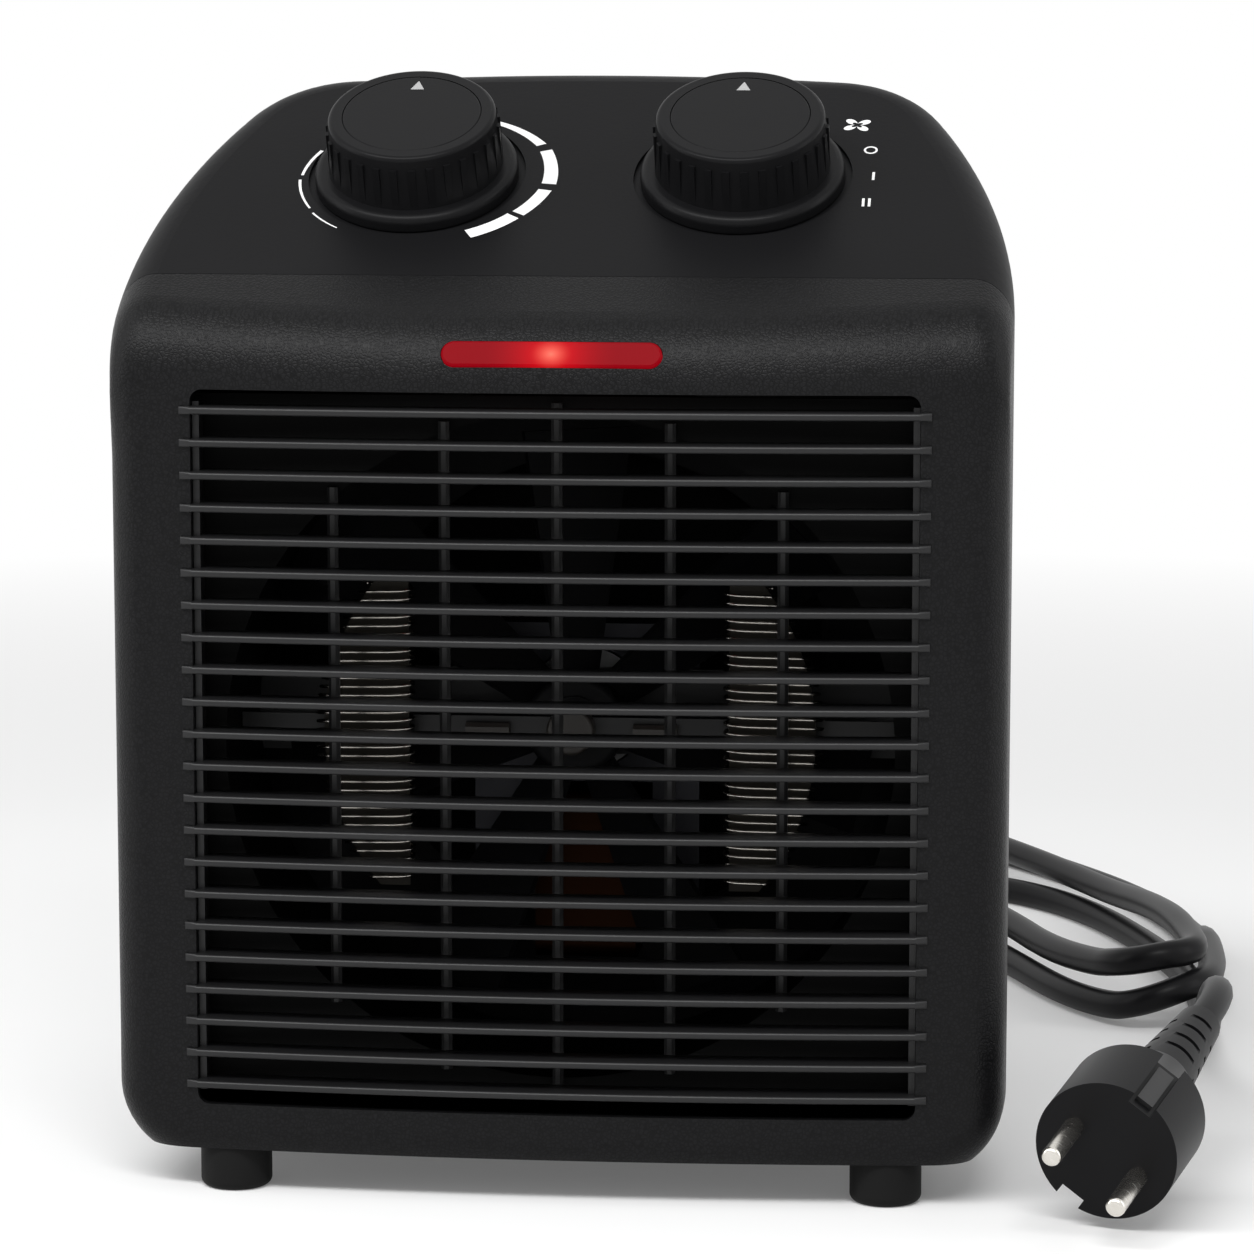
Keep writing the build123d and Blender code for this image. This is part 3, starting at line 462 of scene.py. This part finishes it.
# The scale grows clockwise from the lower left: clock, middle radius and thickness (mm) at each band's ends
heatScale = [
    ((214.5, 233.0), (30.0, 30.0), (0.35, 0.5)), ((237.5, 264.4), (29.6, 29.4), (0.5, 0.7)),
    ((268.4, 292.7), (29.0, 27.7), (0.7, 0.9)), ((297.5, 324.0), (27.4, 26.9), (0.9, 1.1)),
    ((328.5, 355.5), (26.9, 27.4), (1.1, 1.3)), ((360.0, 392.0), (27.5, 29.7), (1.3, 1.5)),
    ((396.5, 425.2), (30.0, 33.0), (1.6, 2.6)), ((430.4, 457.2), (33.3, 33.9), (3.1, 3.7)),
    ((462.0, 483.0), (33.7, 32.6), (3.4, 3.5)), ((485.8, 509.7), (32.3, 31.4), (3.7, 3.8)),
]


# A flat band round the left knob: what each pair gives changes evenly along it
def band(name, clock, middle, thick):
    turn, radius, width = (np.linspace(*ends, mark["samples"]) for ends in (clock, middle, thick))
    return inked(name, np.stack([onKnob(-1, (radius + k * width / 2) * mm, turn) for k in (-1, 1)], 1))


joined("heatScale", [band(f"heatScale{i}", *ends) for i, ends in enumerate(heatScale)])

# Signs beside the right knob: radius and clock of each one's middle, and their sizes in millimetres
place = {"fan": (0.0362, 49), "off": (0.0335, 69), "one": (0.0325, 90), "two": (0.0335, 111)}
sign = {"ringOuter": 1.75, "ringInner": 1.2, "ringSteps": 33, "stroke": 0.65, "reach": 1.8, "apart": 0.75,
        "blades": 4, "bladeSteps": 13, "bladeTurn": 80, "root": 0.5, "inner": 0.9, "outer": 2.9, "stretch": 1.2,
        "rootPhase": 0.12, "tipPhase": pi - 0.05}


# Points round a sign's middle: across and rise in millimetres
def onSign(which, across, rise):
    return onKnob(1, *place[which]) + mm * (across[..., None] * rightAxis + rise[..., None] * upAxis)


def ringSign(name, which):
    turn = np.radians(np.linspace(0, 360, sign["ringSteps"]))[:, None]
    radii = np.array([[sign["ringOuter"], sign["ringInner"]]])
    return inked(name, onSign(which, radii * np.cos(turn), radii * np.sin(turn))[::-1])


def strokeSign(name, which, middle=0.0):
    across = middle + np.array([[-1, 1], [-1, 1]]) * sign["stroke"] / 2
    return inked(name, onSign(which, across, np.array([[-1, -1], [1, 1]]) * sign["reach"]))


# A blade's two edges leave the middle together and swell by a sine as they turn
def bladeSign(name, which, start):
    lean = np.radians(start + np.linspace(0, 1, sign["bladeSteps"])[:, None] * sign["bladeTurn"])
    swell = np.sin(np.linspace(sign["rootPhase"], sign["tipPhase"], sign["bladeSteps"]))[:, None]
    reach = sign["root"] + swell * np.array([[sign["inner"], sign["outer"]]])
    return inked(name, onSign(which, reach * np.cos(lean) * sign["stretch"], reach * np.sin(lean)))


signs = [
    ringSign("signOff", "off"),
    strokeSign("signOne", "one"),
    strokeSign("signTwoA", "two", -sign["apart"]),
    strokeSign("signTwoB", "two", sign["apart"]),
]
for k in range(sign["blades"]):
    signs.append(bladeSign(f"signFan{k}", "fan", 360 / sign["blades"] * k))
joined("switchSigns", signs)
print("marks done")

# Mains cord: one smooth line through the route of the solid (x, depth behind the front, height, in millimetres)
cord = {"radius": 0.004, "bevel": 5, "resolution": 8, "stub": 0.22}
exitPoint = (45.0, 126.0, 32.0)
plugFace, bootEnd = (134.1, -12.0, 20.3), (157.0, 62.0, 34.5)
route = [
    exitPoint, (45.0, 142.0, 32.0), (45.0, 163.0, 24.0), (44.0, 188.0, 10.5), (42.0, 216.0, 4.1),
    (39.0, 248.0, 4.1), (39.0, 282.0, 4.1), (49.0, 312.0, 4.1),
    (70.0, 326.0, 4.1), (91.0, 314.0, 4.1), (104.9, 280.5, 4.1), (121.0, 239.0, 4.1), (135.0, 216.0, 5.0),
    (142.0, 208.5, 7.5), (150.0, 206.5, 10.5), (157.5, 210.0, 13.0), (162.5, 218.0, 13.0), (164.5, 235.0, 12.8),
    (164.5, 256.0, 12.8), (163.0, 278.0, 12.8), (161.5, 316.0, 4.1), (155.0, 348.0, 4.1), (143.0, 382.0, 4.1),
    (124.0, 417.0, 4.1), (103.0, 450.0, 4.1), (82.0, 479.0, 4.1), (50.0, 494.0, 4.1), (18.0, 486.0, 4.1),
    (0.0, 458.0, 4.1), (3.0, 424.0, 6.0), (24.0, 394.0, 9.5), (50.0, 369.0, 12.8), (75.0, 346.0, 12.8),
    (93.0, 321.0, 12.8), (105.0, 294.0, 12.8), (117.5, 257.0, 12.8), (131.0, 226.0, 15.5), (137.0, 213.0, 18.5),
    (142.7, 208.9, 20.0), (149.7, 208.4, 21.6), (155.9, 211.7, 22.0), (159.2, 218.0, 22.0), (158.0, 236.0, 21.6),
    (154.0, 263.0, 21.4), (147.0, 298.0, 18.5), (136.0, 337.0, 14.0), (120.0, 378.0, 12.8), (102.2, 412.0, 12.8),
    (86.0, 440.0, 12.8), (61.0, 457.0, 10.5), (36.0, 449.0, 6.5), (27.0, 426.0, 4.1), (41.0, 406.0, 4.1),
    (66.0, 402.0, 4.1), (86.0, 399.0, 4.1), (103.5, 389.0, 4.1), (119.5, 371.0, 4.1), (133.5, 345.0, 4.1),
    (145.0, 313.0, 4.1), (154.5, 280.0, 4.1), (160.0, 248.0, 4.1), (161.8, 222.0, 4.1), (161.8, 200.0, 4.3),
    (161.5, 176.0, 8.0), (161.0, 150.0, 16.5), (161.5, 123.0, 28.0), (162.6, 99.0, 36.5),
    tuple(b + cord["stub"] * (b - a) for a, b in zip(plugFace, bootEnd)), bootEnd,
]


def routePlace(x, depth, height):
    return x * mm, casing["frontY"] + depth * mm, height * mm


curve = bpy.data.curves.new("mainsCord", "CURVE")
curve.dimensions = "3D"
line = curve.splines.new("NURBS")
line.points.add(len(route) - 1)
for point, spot in zip(line.points, route):
    point.co = (*routePlace(*spot), 1)
line.order_u = 3
line.use_endpoint_u = True
line.resolution_u = cord["resolution"]
curve.bevel_depth = cord["radius"]
curve.bevel_resolution = cord["bevel"]
curve.use_fill_caps = True
curve.materials.append(finishes["cord"])
mainsCord = bpy.data.objects.new("mainsCord", curve)
bpy.context.scene.collection.objects.link(mainsCord)
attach(mainsCord, "case")
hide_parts("cord_lead", "cord_loops", "cord_tail")


# Length of the line itself, from the points of the curve with no bevel
def splineLength(piece):
    bare = piece.data.copy()
    bare.bevel_depth = 0
    probe = bpy.data.objects.new("probe", bare)
    mesh = bpy.data.meshes.new_from_object(probe)
    spots = np.array([v.co[:] for v in mesh.vertices])
    bpy.data.objects.remove(probe)
    return float(np.linalg.norm(np.diff(spots, axis=0), axis=1).sum())


cordLength = splineLength(mainsCord)
print("cord length", round(cordLength, 4))
exitAt = routePlace(*exitPoint)
print("cord done")

# Camera at the photograph's angle, in front of the heater and a little to its right
view = {"place": (0.1317, -1.17565, 0.3008), "down": 8.0, "turn": 0.101046, "lens": 136.18, "sensor": 36,
        "near": 0.05, "far": 30}
camera = bpy.data.objects.new("camera", bpy.data.cameras.new("camera"))
camera.data.lens = view["lens"]
camera.data.sensor_width = view["sensor"]
camera.data.clip_start, camera.data.clip_end = view["near"], view["far"]
camera.location = view["place"]
camera.rotation_euler = (radians(90 - view["down"]), 0, view["turn"])
bpy.context.scene.collection.objects.link(camera)
bpy.context.scene.camera = camera

# Pale floor that fades to white away from the heater, white surroundings and soft studio light
studio = {"floor": 30.0, "floorColor": (0.98, 0.98, 0.98), "world": 0.42, "nearWhite": 0.12, "fadeFrom": 0.45,
          "fadeOver": 0.8}
bpy.ops.mesh.primitive_plane_add(size=studio["floor"], location=(0, 0, 0))
floor = bpy.context.object
floor.name = "floor"
floorMat = Finish("paleFloor", studio["floorColor"], 0.9, Specular_IOR_Level=0.0)


# 1 for rays that show the background: from the camera, in a reflection or through glass
def viewRays(tree):
    rays = tree.nodes.new("ShaderNodeLightPath")
    seen = Wire(tree, rays.outputs["Is Camera Ray"])
    for kind in ("Glossy", "Transmission"):
        seen = seen.maths("MAXIMUM", Wire(tree, rays.outputs[f"Is {kind} Ray"]))
    return seen


# Mixes a plain shader with white of strength 1, from a node of the kind named
def whiteMix(tree, kind, factor, plain, output):
    white = tree.nodes.new(kind)
    white.inputs["Color"].default_value = (1, 1, 1, 1)
    white.inputs["Strength"].default_value = 1.0
    mix = tree.nodes.new("ShaderNodeMixShader")
    tree.links.new(factor.socket, mix.inputs[0])
    tree.links.new(plain, mix.inputs[1])
    tree.links.new(white.outputs[0], mix.inputs[2])
    tree.links.new(mix.outputs[0], output.inputs["Surface"])


distance = floorMat.node("ShaderNodeVectorMath", {"operation": "LENGTH"}, 1, Vector=floorMat.place)
fade = (distance - studio["fadeFrom"]).maths("DIVIDE", studio["fadeOver"])
fade = fade.maths("MAXIMUM", studio["nearWhite"]).maths("MINIMUM", 1.0)
floorTree = floorMat.tree
whiteMix(floorTree, "ShaderNodeEmission", fade * viewRays(floorTree), floorMat.shader.outputs[0],
         floorTree.nodes["Material Output"])
floor.data.materials.append(floorMat.material)

world = bpy.data.worlds.new("studio")
bpy.context.scene.world = world
world.use_nodes = True
sky = world.node_tree
soft = sky.nodes["Background"]
soft.inputs["Color"].default_value = (1, 1, 1, 1)
soft.inputs["Strength"].default_value = studio["world"]
whiteMix(sky, "ShaderNodeBackground", viewRays(sky), soft.outputs[0], sky.nodes["World Output"])


def softLamp(name, place, target, size, power):
    lamp = bpy.data.objects.new(name, bpy.data.lights.new(name, "AREA"))
    lamp.data.shape = "RECTANGLE"
    lamp.data.size, lamp.data.size_y = size
    lamp.data.energy = power
    lamp.location = place
    lamp.rotation_euler = (Vector(target) - Vector(place)).to_track_quat("-Z", "Y").to_euler()
    bpy.context.scene.collection.objects.link(lamp)


softLamp("keyAbove", (-0.25, -1.0, 1.35), (0, 0, 0.12), (1.9, 0.3), 26)
softLamp("stripLeft", (-1.3, -0.3, 0.5), (0, 0, 0.13), (0.4, 1.4), 4)
softLamp("stripRight", (1.3, -0.1, 0.5), (0, 0, 0.13), (0.4, 1.4), 4)

bpy.context.scene.view_settings.view_transform = "Standard"
print("studio done")
